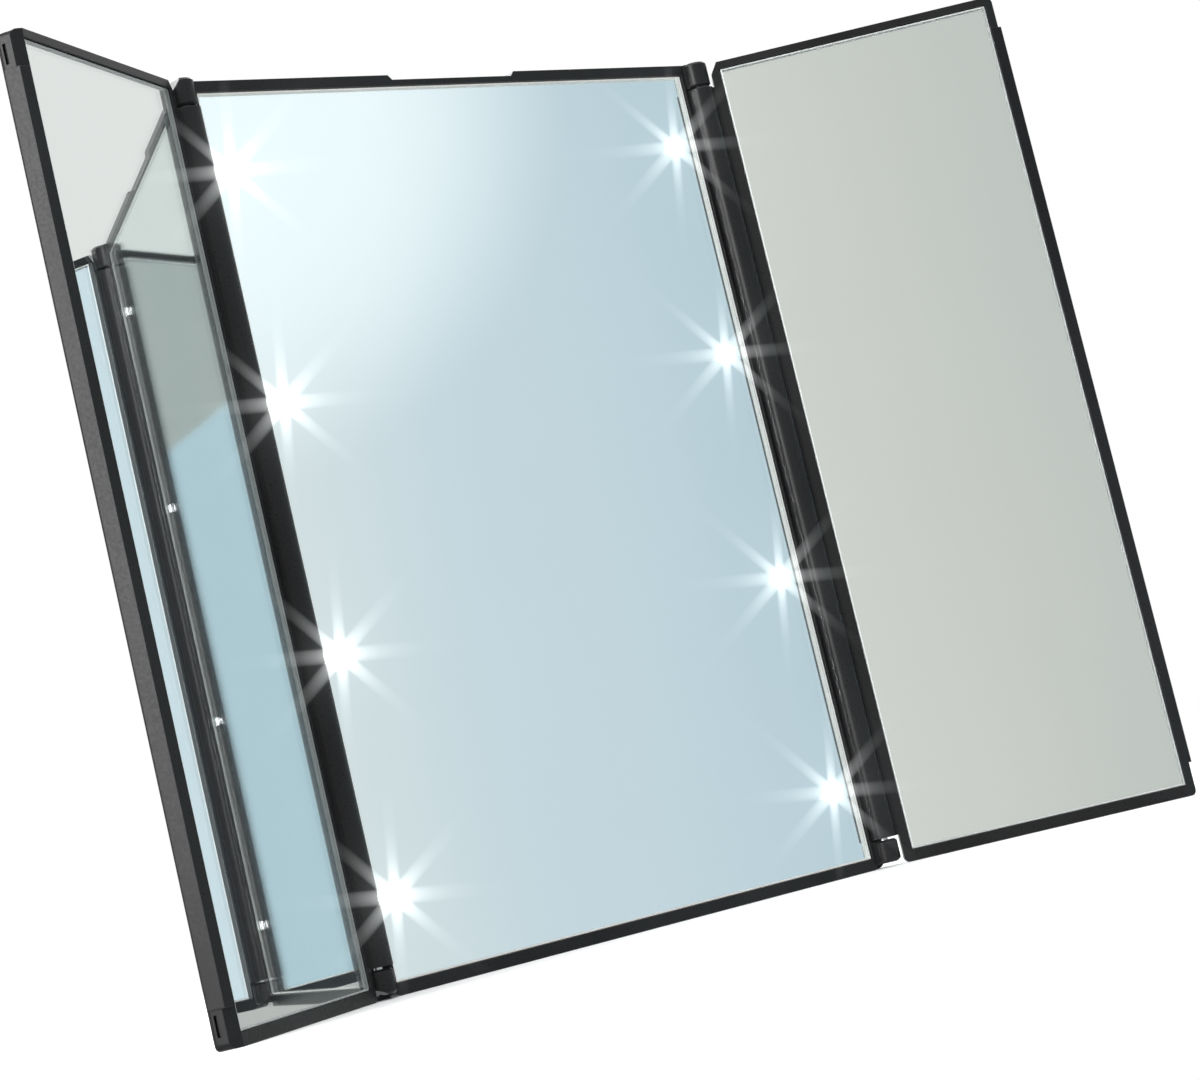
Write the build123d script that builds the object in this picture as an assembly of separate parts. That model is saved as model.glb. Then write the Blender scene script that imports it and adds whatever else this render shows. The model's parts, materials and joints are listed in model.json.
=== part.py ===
"""Three-panel folding mirror with eight lamps behind clear windows in the centre pane.

Frame: millimetres, +X to the viewer's right, +Y away from the viewer, +Z up.  The origin is on
the centre panel's bottom face, at mid width and mid depth.  The wings are built flat, with the
hinge axis at their own origin, and then turned to the rest pose.
"""

import math
import os

from build123d import *

# ------------------------------------------------------------------ driving dimensions (mm, deg)
# centre panel
GLASS_WIDTH = 110.4          # centre pane
GLASS_HEIGHT = 150.0         # all three panes
GLASS_THICK = 1.3
SILVER_THICK = 0.1
TAPE_THICK = 0.2
TOP_LIP = 2.0                # frame above the centre pane
BOTTOM_LIP = 2.2             # frame below every pane
SIDE_RIM = 0.45              # thin frame edge beside the centre pane
BODY_DEPTH = 9.0
LIP_PROUD = 0.2              # centre frame in front of its pane
SHELF_THICK = 1.0            # plate that carries the centre pane
WALL = 1.4                   # case wall
CORNER_R = 3.0               # outline corners of the case
BACK_EDGE_R = 1.2            # rounded rear edge of the case
FRONT_DEPTH = 2.4            # front frame's side walls, from the flange to the rear cover
TONGUE_THICK = 0.8
TONGUE_REACH = 0.8
RECESS_WIDTH = 28.8          # finger recess in the top edge
RECESS_DEPTH = 0.85
RECESS_SLANT = 0.8
GLASS_BEVEL = 0.3            # ground edge of every pane
TAPE_WIDTH = 12.0
TAPE_END = 4.5               # tape short of the pane's ends

# hinges
BARREL_R = 2.6
POST_R = 2.35
POST_HEIGHT = 4.7
POST_LIFT = 0.8              # bottom post above the floor
POST_EDGE = 0.4              # bevel round each post's ends
POST_TOP_BEVEL = (1.3, 2.1)  # corner wedge on the top post: across, along
POST_LOW_BEVEL = (2.0, 1.2)
FRAME_EDGE_R = 0.8           # outline corners between the hinges
AXIS_FORWARD = 0.6           # hinge axis in front of the centre pane
PIN_R = 0.75
PIN_LENGTH = 9.0
PIN_INSET = 0.6

# wings
LEFT_OPEN = 32.3             # rest angle, from flat, towards the viewer
RIGHT_OPEN = 41.5
WING_DEPTH = 4.0             # behind the hinge axis plane
WING_TOP_LIP = 1.5
WING_OUTER_LIP = 1.75
WING_PANE_SINK = 0.2         # pane behind the hinge axis plane
WING_LIP_PROUD = 0.15
WING_INNER_EDGE = 2.9        # from the axis to the frame's inner edge
WING_PANE_START = 4.7        # from the axis to the pane
WING_SHELF = 0.7
WING_WALL = 1.2
WING_COVER_FLANGE = 0.55
WING_COVER_THICK = 1.0
BAND_PROUD = 0.4             # raised band on the outer wall
BAND_END = 6.0               # plain wall at each end of the band
CLOSED_GAP = 1.1             # between the two bands when both wings are shut
WINDOW_LENGTH = 3.2          # snap windows in the outer wall
WINDOW_HEIGHT = 0.5
WINDOW_END = 2.0
WINDOW_FROM_SEAM = 0.4
WING_BEVEL = (1.4, 2.2)      # inner top corner: across, along
WING_CORNER_R = 1.0
WING_SLOPE = 1.45            # drop of the sloped outer edge
BAND_SLOPE = 0.75
BARREL_WEB = 0.5             # barrel's web inside the frame
BARB_ARM = 0.8
BARB_ROOT = 0.2
BARB_SHORT = 0.5             # barb short of the outer wall's face
WING_TAPE_WIDTH = 10.0

# lamps
LED_INSET = 4.5              # lamp line in from the pane's side edge
LED_END_INSET = 13.4         # outer lamps in from the pane's ends
LED_END_PITCH = 40.2         # outer lamp to its neighbour
LED_WINDOW_R = 1.6
LED_SIZE = (2.8, 0.7, 3.5)
LED_FACE_R = 1.17
LED_FACE_THICK = 0.15
BOARD_WIDTH = 4.8
BOARD_THICK = 0.6
BOARD_END = 4.0              # strip board past its last lamp

# power
CELL_R = 10.0
CELL_THICK = 3.2
CELL_GAP = 0.3               # round and between the cells
CELL_SPACING = 21.0
CELL_EDGE_R = 0.4
CELL_CAP_THICK = 0.4
CELL_CAP_STEP = 1.5          # negative cap smaller than the can
CELL_CAP_ROOT = 0.2
BAY_WALL = 0.8
BAY_FLOOR = 0.6
BAY_CENTRE_Z = 77.2
CONTACT_THICK = 0.2
LEAF_HALF = 4.0              # negative leaf, half width and reach past the cell's middle
STRIP_HALF = 2.5             # positive strip, half width
STRIP_BELOW_TAIL = 0.5
TAIL_HALF = 1.5
LINK_HALF = 0.3              # link strip, half width along Y
LINK_STEP = 1.0              # link past its tails and round its turn
LINK_LAP = 0.2
DOOR_THICK = 1.2
DOOR_GAP = 0.1
DOOR_MARGIN = 1.2            # door past the bay on each side
TONGUE_RAIL = 0.8            # door rail, width
RAIL_THICK = 0.5
GRIP_COUNT = 5               # finger grooves on the door
GRIP_START = 6.0             # first groove in from the case's side
GRIP_PITCH = 1.8
GRIP_WIDTH = 0.8
GRIP_DEPTH = 0.35
GRIP_HALF = 7.0
PAD_THICK = 1.0
WIRE_R = 0.45
WIRE_BEND = 2.5
SOLDER_R = 0.9
SOLDER_THICK = 0.2
LEAD_CLEAR = 8.0             # cell leads' turn from the control board
LEAD_DRIFT = 2.0             # a cell lead's wander along Z on its long run
TAIL_RUN = 3.0               # straight start of a cell lead
PAD_INSET = 2.0              # solder pad in from a board's edge
CELL_PAD_Z = 6.0             # pads of the cell leads from the switch line
LAMP_PAD_Z = 12.0
LAMP_PAD_X = (5.0, 4.0)      # lamp leads' pads left and right of the switch line
OVER_BAY = 12.0              # lamp lead above the bay

# switch
SWITCH_TRAVEL = 3.0
SWITCH_Z = 77.2
SWITCH_IN = 17.0             # switch line in from the pane's side edge
KNOB_WIDTH = 5.0
KNOB_LENGTH = 7.0
KNOB_THICK = 1.0
STEM_WIDTH = 2.2
STEM_LENGTH = 3.4
STEM_END = 1.0               # foot inside the switch
KNOB_CORNER_R = 0.6
KNOB_GROOVE = (0.3, 0.5)     # depth, width
KNOB_GROOVE_PITCH = 1.1
KNOB_POCKET = 1.0            # pocket larger than the knob and its travel
STEM_SLOT = 0.4              # slot larger than the stem and its travel
FOOT_SLOT_DEPTH = 1.2
FOOT_SLOT_LENGTH = 2.0
CONTROL_BOARD = (14.0, 0.8, 30.0)
RESISTOR = (3.2, 0.6, 1.6)
RESISTOR_FROM_SWITCH = 11.0
SWITCH_CAN = (5.6, 2.6, 10.0)

# screws
SCREW_R = 1.0
SCREW_HEAD_R = 1.9
SCREW_HEAD_THICK = 0.7
SCREW_LENGTH = 5.0
BOSS_R = 2.3
SCREW_IN = 7.0               # from the case's top and bottom edges
SCREW_SIDE = 11.0            # from the case's side edges
CROSS_LENGTH = 2.4
CROSS_WIDTH = 0.5
CROSS_DEPTH = 0.4

# clearances
PANE_GAP = 0.1
HINGE_GAP = 0.3
POST_END_GAP = 0.4
PRESS_GAP = 0.02
RUNNING_GAP = 0.05
FIT_GAP = 0.1
SEAM_GAP = 0.05
LEAD_GAP = 0.15              # cell leads to the cover's pad
PAST = 1.0                   # how far a cut runs beyond the face it opens

# ------------------------------------------------------------------ places that follow from them
HEIGHT = BOTTOM_LIP + GLASS_HEIGHT + TOP_LIP
FRONT_Y = -BODY_DEPTH / 2
BACK_Y = BODY_DEPTH / 2
PANE_Y = FRONT_Y + LIP_PROUD
SILVER_Y = PANE_Y + GLASS_THICK
TAPE_Y = SILVER_Y + SILVER_THICK
SHELF_Y = TAPE_Y + TAPE_THICK
SHELF_BACK_Y = SHELF_Y + SHELF_THICK
COVER_INSIDE_Y = BACK_Y - WALL
PAD_FRONT_Y = COVER_INSIDE_Y - PAD_THICK

RIM_X = GLASS_WIDTH / 2 + PANE_GAP + SIDE_RIM
AXIS_X = RIM_X + HINGE_GAP + BARREL_R
AXIS_Y = PANE_Y - AXIS_FORWARD
CASE_X = AXIS_X + BARREL_R
FLANGE_Y = AXIS_Y + BARREL_R + POST_END_GAP       # case front behind the barrels
FLANGE_BACK_Y = FLANGE_Y + WALL
JOINT_Y = FLANGE_Y + FRONT_DEPTH
NARROW_X = RIM_X - WALL                            # hollow between the flanges

PANE_Z0 = BOTTOM_LIP
PANE_Z1 = BOTTOM_LIP + GLASS_HEIGHT
POST_TOP_Z = HEIGHT - POST_HEIGHT
POST_LOW_Z = POST_HEIGHT + POST_END_GAP / 2
BARREL_Z0 = POST_LOW_Z + POST_END_GAP
BARREL_Z1 = POST_TOP_Z - POST_END_GAP

WING_HEIGHT = BOTTOM_LIP + GLASS_HEIGHT + WING_TOP_LIP
WING_REACH = AXIS_X - CLOSED_GAP / 2 - BAND_PROUD
WING_PANE_END = WING_REACH - WING_OUTER_LIP
WING_FRONT_Y = WING_PANE_SINK - WING_LIP_PROUD
WING_SILVER_Y = WING_PANE_SINK + GLASS_THICK
WING_TAPE_Y = WING_SILVER_Y + SILVER_THICK
WING_SHELF_Y = WING_TAPE_Y + TAPE_THICK
WING_SHELF_BACK_Y = WING_SHELF_Y + WING_SHELF
WING_SEAM_Y = WING_DEPTH - WING_COVER_FLANGE

LED_X = GLASS_WIDTH / 2 - LED_INSET
PANE_MID_Z = (PANE_Z0 + PANE_Z1) / 2
LED_OUTER = GLASS_HEIGHT / 2 - LED_END_INSET
LED_INNER = LED_OUTER - LED_END_PITCH
LED_Z = [PANE_MID_Z + offset for offset in (-LED_OUTER, -LED_INNER, LED_INNER, LED_OUTER)]
LED_ROOM_R = math.hypot(LED_SIZE[0], LED_SIZE[2]) / 2 + FIT_GAP
BOARD_BACK_Y = SHELF_BACK_Y + BOARD_THICK

BAY_X1 = NARROW_X - BAY_WALL - FIT_GAP
BAY_X0 = BAY_X1 - 2 * (CELL_R + CELL_GAP)
BAY_X = (BAY_X0 + BAY_X1) / 2
BAY_HALF = CELL_SPACING / 2 + CELL_R + CELL_GAP
BAY_Z0 = BAY_CENTRE_Z - BAY_HALF
BAY_Z1 = BAY_CENTRE_Z + BAY_HALF
CELL_Z = [BAY_CENTRE_Z - CELL_SPACING / 2, BAY_CENTRE_Z + CELL_SPACING / 2]
DOOR_FRONT_Y = BACK_Y - DOOR_THICK
CELL_BACK_Y = DOOR_FRONT_Y - FIT_GAP
CELL_FRONT_Y = CELL_BACK_Y - CELL_THICK
BAY_FLOOR_Y = CELL_FRONT_Y - CONTACT_THICK
DOOR_X0 = BAY_X0 - DOOR_MARGIN
DOOR_Z0 = BAY_Z0 - DOOR_MARGIN
DOOR_Z1 = BAY_Z1 + DOOR_MARGIN

SWITCH_X = -(GLASS_WIDTH / 2 - SWITCH_IN)
BOARD_FACE_Y = SHELF_BACK_Y + CONTROL_BOARD[1]
CAN_BACK_Y = BOARD_FACE_Y + SWITCH_CAN[1]
WIRE_Y = BOARD_FACE_Y + SOLDER_THICK + WIRE_R      # leads lie on their solder pads
TAIL_X = BAY_X0 - 2 * BAY_WALL                     # ends of the cell contacts' tails
LOW_TAIL_Y = BAY_FLOOR_Y + CONTACT_THICK / 2       # negative tails, mid thickness
HIGH_TAIL_Y = PAD_FRONT_Y - LEAD_GAP - WIRE_R      # positive tails, under the cover's pad
BOARD_EDGE_X = SWITCH_X + CONTROL_BOARD[0] / 2
LEAD_RUN_X = BOARD_EDGE_X + LEAD_CLEAR             # where the cell leads turn
PAD_X = BOARD_EDGE_X - PAD_INSET
LEFT_PAD_X = -LED_X + BOARD_WIDTH / 2 - PAD_INSET / 2
LAMP_X = SWITCH_X + LAMP_PAD_X[1]                  # right lamp lead leaves the board
OVER_Z = BAY_Z1 + OVER_BAY                         # lamp lead passes above the bay


# ------------------------------------------------------------------ small shape helpers
def block(x0, x1, y0, y1, z0, z1):
    """Box between two opposite corners."""
    box = Box(x1 - x0, y1 - y0, z1 - z0, align=(Align.MIN, Align.MIN, Align.MIN))
    return Pos(x0, y0, z0) * box


def centred(x, y0, z, size):
    """Box of size (x, y, z), centred on x and z, standing on y0."""
    width, depth, height = size
    return block(x - width / 2, x + width / 2, y0, y0 + depth, z - height / 2, z + height / 2)


def rod_y(x, z, y0, y1, radius):
    """Cylinder along Y."""
    rod = Cylinder(radius, y1 - y0, align=(Align.CENTER, Align.CENTER, Align.MIN))
    return Pos(x, y0, z) * Rot(-90, 0, 0) * rod


def rod_z(x, y, z0, z1, radius):
    """Cylinder along Z."""
    rod = Cylinder(radius, z1 - z0, align=(Align.CENTER, Align.CENTER, Align.MIN))
    return Pos(x, y, z0) * rod


def prism_y(points, y0, y1):
    """Outline of (x, z) points pushed along +Y."""
    face = make_face(Polyline(*[(x, y0, z) for x, z in points], close=True))
    return extrude(face, amount=y1 - y0, dir=(0, 1, 0))


def prism_z(points, z0, z1):
    """Outline of (x, y) points pushed along +Z."""
    face = make_face(Polyline(*[(x, y, z0) for x, y in points], close=True))
    return extrude(face, amount=z1 - z0, dir=(0, 0, 1))


def prism_x(points, x0, x1):
    """Outline of (y, z) points pushed along +X."""
    face = make_face(Polyline(*[(x0, y, z) for y, z in points], close=True))
    return extrude(face, amount=x1 - x0, dir=(1, 0, 0))


def round_outline(solid, radius):
    """Round the edges that run along Y."""
    return fillet(solid.edges().filter_by(Axis.Y), radius)


def break_front(solid, size):
    """Chamfer the edges of the face that looks towards the viewer."""
    return chamfer(solid.faces().sort_by(Axis.Y)[0].edges(), size)


def group(pieces):
    """Several separate solids as one node."""
    return Compound(children=[piece for piece in pieces])


# ------------------------------------------------------------------ centre panel
def case_block(y0, y1):
    """The wide part of the case, with rounded outline corners."""
    return round_outline(block(-CASE_X, CASE_X, y0, y1, 0, HEIGHT), CORNER_R)


def case_hollow(y0, y1, half_width, wall):
    return block(-half_width, half_width, y0, y1, wall, HEIGHT - wall)


def hinge_post(z0, z1):
    """Right-hand hinge post: a round pin seat with its arm back to the case."""
    seat = rod_z(AXIS_X, AXIS_Y, z0, z1, POST_R)
    rim = seat.edges().filter_by(GeomType.CIRCLE)
    seat = chamfer(rim, POST_EDGE)
    arm = block(AXIS_X - POST_R, AXIS_X + POST_R, AXIS_Y, FLANGE_Y + FIT_GAP, z0, z1)
    neck = block(NARROW_X, AXIS_X, FRONT_Y, FLANGE_Y + FIT_GAP, z0, z1)
    return seat + arm + neck


def post_corner_cut(z_edge, direction, across, along):
    """Wedge that bevels a post's outer corner at its top (direction -1) or bottom (+1)."""
    edge_x = AXIS_X + POST_R
    far_x = edge_x + across
    points = [
        (edge_x - across, z_edge - direction * across),
        (edge_x - across, z_edge),
        (edge_x, z_edge + direction * along),
        (far_x, z_edge + direction * along),
        (far_x, z_edge - direction * across),
    ]
    return prism_y(points, AXIS_Y - 2 * POST_R, FLANGE_Y)


def pin_axis_cut(radius):
    """Holes for the hinge pins, right-hand side, both ends."""
    low = rod_z(AXIS_X, AXIS_Y, POST_LIFT + PIN_INSET, POST_LOW_Z + PAST, radius)
    low += rod_z(AXIS_X, AXIS_Y, 0, POST_LIFT + PIN_INSET, radius)
    high = rod_z(AXIS_X, AXIS_Y, POST_TOP_Z - PAST, HEIGHT + PAST, radius)
    return low + high


def screw_places():
    """(x, z) of the four case screws."""
    side = CASE_X - SCREW_SIDE
    return [(x, z) for x in (-side, side) for z in (SCREW_IN, HEIGHT - SCREW_IN)]


def front_frame():
    narrow = block(-RIM_X, RIM_X, FRONT_Y, FLANGE_Y, 0, HEIGHT)
    narrow = round_outline(narrow, FRAME_EDGE_R)
    frame = narrow + case_block(FLANGE_Y, JOINT_Y)
    for z0, z1 in ((POST_LIFT, POST_LOW_Z), (POST_TOP_Z, HEIGHT)):
        post = hinge_post(z0, z1)
        frame += post
        frame += mirror(post, about=Plane.YZ)
    bevels = post_corner_cut(HEIGHT, -1, *POST_TOP_BEVEL)
    bevels += post_corner_cut(POST_LIFT, 1, *POST_LOW_BEVEL)
    bevels += pin_axis_cut(PIN_R + PRESS_GAP)
    frame -= bevels
    frame -= mirror(bevels, about=Plane.YZ)

    half = GLASS_WIDTH / 2 + PANE_GAP
    frame -= block(-half, half, FRONT_Y - PAST, SHELF_Y, PANE_Z0 - PANE_GAP, PANE_Z1 + PANE_GAP)
    frame -= case_hollow(SHELF_BACK_Y, JOINT_Y + PAST, NARROW_X, WALL)
    frame -= case_hollow(FLANGE_BACK_Y, JOINT_Y + PAST, CASE_X - WALL, WALL)

    floor_z = HEIGHT - RECESS_DEPTH
    top_half = RECESS_WIDTH / 2
    low_half = top_half - RECESS_SLANT
    recess = [(-top_half, HEIGHT), (-low_half, floor_z), (low_half, floor_z), (top_half, HEIGHT)]
    frame -= prism_y(recess, FRONT_Y - PAST, JOINT_Y + PAST)

    for x in (-LED_X, LED_X):
        for z in LED_Z:
            frame -= rod_y(x, z, SHELF_Y - PAST, SHELF_BACK_Y + PAST, LED_ROOM_R)
    for x, z in screw_places():
        boss = rod_y(x, z, SHELF_BACK_Y - FIT_GAP, COVER_INSIDE_Y - FIT_GAP, BOSS_R)
        frame += boss
        frame -= rod_y(x, z, SHELF_BACK_Y, COVER_INSIDE_Y + PAST, SCREW_R + PRESS_GAP)
    return frame


def cover_skin():
    """Outer form of the rear cover: rounded outline and rounded rear edge."""
    skin = case_block(JOINT_Y, BACK_Y)
    return fillet(skin.faces().sort_by(Axis.Y)[-1].edges(), BACK_EDGE_R)


def door_space(gap):
    """Room for the battery door and its two rails, out through the right-hand side."""
    body = block(DOOR_X0 - gap, CASE_X + PAST, DOOR_FRONT_Y - gap, BACK_Y + PAST,
                 DOOR_Z0 - gap, DOOR_Z1 + gap)
    rails = block(DOOR_X0 - gap, CASE_X + PAST, DOOR_FRONT_Y - gap, DOOR_FRONT_Y + RAIL_THICK + gap,
                  DOOR_Z0 - TONGUE_RAIL - gap, DOOR_Z1 + TONGUE_RAIL + gap)
    return body + rails


def back_cover():
    cover = cover_skin() - case_hollow(JOINT_Y - PAST, COVER_INSIDE_Y, CASE_X - WALL, WALL)

    reach = WALL + FIT_GAP
    tongue = case_hollow(JOINT_Y - TONGUE_REACH, JOINT_Y, CASE_X - reach, reach)
    tongue += case_hollow(JOINT_Y, COVER_INSIDE_Y, CASE_X - WALL + FIT_GAP, WALL - FIT_GAP)
    inner = reach + TONGUE_THICK
    tongue -= case_hollow(JOINT_Y - TONGUE_REACH - PAST, COVER_INSIDE_Y + PAST, CASE_X - inner, inner)
    cover += tongue

    rail = DOOR_MARGIN + TONGUE_RAIL + BAY_WALL
    cover += block(BAY_X0 - rail, CASE_X - WALL, PAD_FRONT_Y, COVER_INSIDE_Y,
                   BAY_Z0 - rail, BAY_Z1 + rail)
    cover += block(BAY_X0 - BAY_WALL, BAY_X1 + BAY_WALL, BAY_FLOOR_Y - BAY_FLOOR, COVER_INSIDE_Y,
                   BAY_Z0 - BAY_WALL, BAY_Z1 + BAY_WALL)
    cover -= block(BAY_X0, BAY_X1, BAY_FLOOR_Y, BACK_Y + PAST, BAY_Z0, BAY_Z1)
    cover -= door_space(DOOR_GAP)
    for z in CELL_Z:
        cover -= negative_tab(z, FIT_GAP / 2)
        cover -= positive_tab(z, FIT_GAP / 2)

    pocket_z = SWITCH_Z + SWITCH_TRAVEL / 2
    pocket = (KNOB_WIDTH + KNOB_POCKET, KNOB_THICK, KNOB_LENGTH + SWITCH_TRAVEL + KNOB_POCKET)
    slot = (STEM_WIDTH + STEM_SLOT, WALL + 2 * PAST, STEM_LENGTH + SWITCH_TRAVEL + STEM_SLOT)
    cover -= centred(SWITCH_X, BACK_Y - KNOB_THICK + FIT_GAP, pocket_z, pocket)
    cover -= centred(SWITCH_X, COVER_INSIDE_Y - PAST, pocket_z, slot)
    for x, z in screw_places():
        cover -= rod_y(x, z, COVER_INSIDE_Y - PAST, BACK_Y + PAST, SCREW_R + FIT_GAP)
        cover -= rod_y(x, z, BACK_Y - SCREW_HEAD_THICK - FIT_GAP, BACK_Y + PAST, SCREW_HEAD_R + FIT_GAP)
    return cover


def centre_mirror_glass():
    half = GLASS_WIDTH / 2
    pane = block(-half, half, PANE_Y, SILVER_Y, PANE_Z0, PANE_Z1)
    return break_front(pane, GLASS_BEVEL)


def centre_silvering():
    half = GLASS_WIDTH / 2
    layer = block(-half, half, SILVER_Y, TAPE_Y, PANE_Z0, PANE_Z1)
    for x in (-LED_X, LED_X):
        for z in LED_Z:
            layer -= rod_y(x, z, SILVER_Y - PAST, TAPE_Y + PAST, LED_WINDOW_R)
    return layer


def centre_tape():
    """Foam tape strips that bond the pane to its shelf, clear of the lamps."""
    side = LED_X - BOARD_WIDTH - TAPE_WIDTH / 2
    size = (TAPE_WIDTH, TAPE_THICK, GLASS_HEIGHT - 2 * TAPE_END)
    return group([centred(x, TAPE_Y, PANE_MID_Z, size) for x in (-side, 0, side)])


def led_board(side):
    length = 2 * LED_OUTER + 2 * BOARD_END
    return centred(side * LED_X, SHELF_BACK_Y, PANE_MID_Z, (BOARD_WIDTH, BOARD_THICK, length))


def led_set(side):
    """Four surface-mount lamps: a square body with a round lit face."""
    lamps = []
    x = side * LED_X
    width, depth, height = LED_SIZE
    lit_y = SHELF_BACK_Y - depth
    body_y = lit_y + LED_FACE_THICK
    for z in LED_Z:
        body = centred(x, body_y, z, (width, depth - LED_FACE_THICK, height))
        lamps.append(body + rod_y(x, z, lit_y, body_y, LED_FACE_R))
    return group(lamps)


def control_board():
    return centred(SWITCH_X, SHELF_BACK_Y, SWITCH_Z, CONTROL_BOARD)


def resistors():
    places = (SWITCH_Z - RESISTOR_FROM_SWITCH, SWITCH_Z + RESISTOR_FROM_SWITCH)
    return group([centred(SWITCH_X, BOARD_FACE_Y, z, RESISTOR) for z in places])


def switch_housing():
    """Slide-switch can with a slot for the knob's foot."""
    middle_z = SWITCH_Z + SWITCH_TRAVEL / 2
    can = centred(SWITCH_X, BOARD_FACE_Y, middle_z, SWITCH_CAN)
    slot = (STEM_WIDTH / 2 + STEM_SLOT, FOOT_SLOT_LENGTH, STEM_LENGTH + SWITCH_TRAVEL + STEM_SLOT)
    return can - centred(SWITCH_X, CAN_BACK_Y - FOOT_SLOT_DEPTH, middle_z, slot)


def switch_knob():
    """Thumb piece with grip grooves, a stem through the cover and a foot in the switch."""
    pad_y = BACK_Y - KNOB_THICK + 2 * FIT_GAP
    knob = centred(SWITCH_X, pad_y, SWITCH_Z, (KNOB_WIDTH, KNOB_THICK, KNOB_LENGTH))
    knob = round_outline(knob, KNOB_CORNER_R)
    depth, width = KNOB_GROOVE
    groove = (KNOB_WIDTH + PAST, depth + PAST, width)
    for step in (-2, -1, 0, 1, 2):
        z = SWITCH_Z + step * KNOB_GROOVE_PITCH
        knob -= centred(SWITCH_X, pad_y + KNOB_THICK - depth, z, groove)
    stem_y = CAN_BACK_Y + FIT_GAP
    stem = centred(SWITCH_X, stem_y, SWITCH_Z, (STEM_WIDTH, pad_y - stem_y, STEM_LENGTH))
    foot_y = CAN_BACK_Y - STEM_END
    foot = centred(SWITCH_X, foot_y, SWITCH_Z, (STEM_WIDTH / 2, stem_y - foot_y, STEM_LENGTH))
    return knob + stem + foot


def coin_cell(z):
    """Cell can with the smaller negative cap towards the bay's floor."""
    can_y = CELL_FRONT_Y + CELL_CAP_THICK
    can = rod_y(BAY_X, z, can_y, CELL_BACK_Y, CELL_R)
    can = fillet(can.edges().filter_by(GeomType.CIRCLE), CELL_EDGE_R)
    return can + rod_y(BAY_X, z, CELL_FRONT_Y, can_y + CELL_CAP_ROOT, CELL_R - CELL_CAP_STEP)


def contact_tail(y, z, gap):
    """Flat tail through the bay's wall, mid thickness at y."""
    half = CONTACT_THICK / 2 + gap
    return block(TAIL_X, BAY_X0 + CONTACT_THICK, y - half, y + half,
                 z - TAIL_HALF - gap, z + TAIL_HALF + gap)


def negative_tab(z, gap):
    """Leaf under a cell and its tail through the bay's wall."""
    leaf = block(BAY_X0, BAY_X + LEAF_HALF, BAY_FLOOR_Y, CELL_FRONT_Y, z - LEAF_HALF, z + LEAF_HALF)
    return leaf + contact_tail(LOW_TAIL_Y, z, gap)


def positive_tab(z, gap):
    """Upright strip beside a cell's rim and its tail through the bay's wall."""
    strip = block(BAY_X0, BAY_X0 + CONTACT_THICK, HIGH_TAIL_Y - STRIP_BELOW_TAIL, CELL_BACK_Y,
                  z - STRIP_HALF, z + STRIP_HALF)
    return strip + contact_tail(HIGH_TAIL_Y, z, gap)


def battery_door():
    """Sliding door with side rails, finger grooves and the case's own edge rounding."""
    body = block(DOOR_X0, CASE_X, DOOR_FRONT_Y, BACK_Y, DOOR_Z0, DOOR_Z1)
    door = body & cover_skin()
    door += block(DOOR_X0, CASE_X - BACK_EDGE_R, DOOR_FRONT_Y, DOOR_FRONT_Y + RAIL_THICK,
                  DOOR_Z0 - TONGUE_RAIL, DOOR_Z1 + TONGUE_RAIL)
    for step in range(GRIP_COUNT):
        x = CASE_X - GRIP_START - GRIP_PITCH * step
        door -= block(x, x + GRIP_WIDTH, BACK_Y - GRIP_DEPTH, BACK_Y + PAST,
                      BAY_CENTRE_Z - GRIP_HALF, BAY_CENTRE_Z + GRIP_HALF)
    return door


def case_screws():
    """Four screws with cross-slot heads."""
    screws = []
    head_y = BACK_Y - SCREW_HEAD_THICK - FIT_GAP / 2
    for x, z in screw_places():
        head = rod_y(x, z, head_y, head_y + SCREW_HEAD_THICK, SCREW_HEAD_R)
        shank = rod_y(x, z, head_y - SCREW_LENGTH + SCREW_HEAD_THICK, head_y, SCREW_R)
        slot_y = head_y + SCREW_HEAD_THICK - CROSS_DEPTH
        slots = centred(x, slot_y, z, (CROSS_LENGTH, PAST, CROSS_WIDTH))
        slots += centred(x, slot_y, z, (CROSS_WIDTH, PAST, CROSS_LENGTH))
        screws.append(head + shank - slots)
    return group(screws)


def hinge_pins(side):
    x = side * AXIS_X
    low_z = POST_LIFT + PIN_INSET
    high_z = HEIGHT - PIN_INSET
    low = rod_z(x, AXIS_Y, low_z, low_z + PIN_LENGTH, PIN_R)
    high = rod_z(x, AXIS_Y, high_z - PIN_LENGTH, high_z, PIN_R)
    return group([low, high])


def cell_link():
    """Strip from the lower cell's positive tail to the upper cell's negative tail."""
    high_front, high_back = HIGH_TAIL_Y - LINK_HALF, HIGH_TAIL_Y + LINK_HALF
    low_front, low_back = LOW_TAIL_Y - LINK_HALF, LOW_TAIL_Y + LINK_HALF
    start_z, end_z = CELL_Z[0] - LINK_STEP, CELL_Z[1] + LINK_STEP
    turn_low, turn_high = BAY_CENTRE_Z - LINK_STEP, BAY_CENTRE_Z + LINK_STEP
    points = [
        (high_front, start_z), (high_back, start_z), (high_back, turn_high),
        (low_back, turn_high), (low_back, end_z), (low_front, end_z),
        (low_front, turn_low), (high_front, turn_low),
    ]
    return prism_x(points, TAIL_X - CONTACT_THICK, TAIL_X)


def lead(points, bends):
    """Insulated wire along straight runs joined by arcs."""
    path = FilletPolyline(*points, radius=bends)
    start = Plane(origin=path @ 0, z_dir=path % 0)
    return sweep(start * Circle(WIRE_R), path=path)


def cell_lead(tail_y, tail_z, pad_z, drift):
    """From a cell contact's tail, sloping down to the control board's face."""
    points = [
        (TAIL_X, tail_y, tail_z),
        (TAIL_X - TAIL_RUN, tail_y, tail_z),
        (LEAD_RUN_X, WIRE_Y, tail_z + drift),
        (LEAD_RUN_X, WIRE_Y, pad_z),
        (PAD_X - SOLDER_R, WIRE_Y, pad_z),
    ]
    return lead(points, [WIRE_BEND] * 3)


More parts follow.
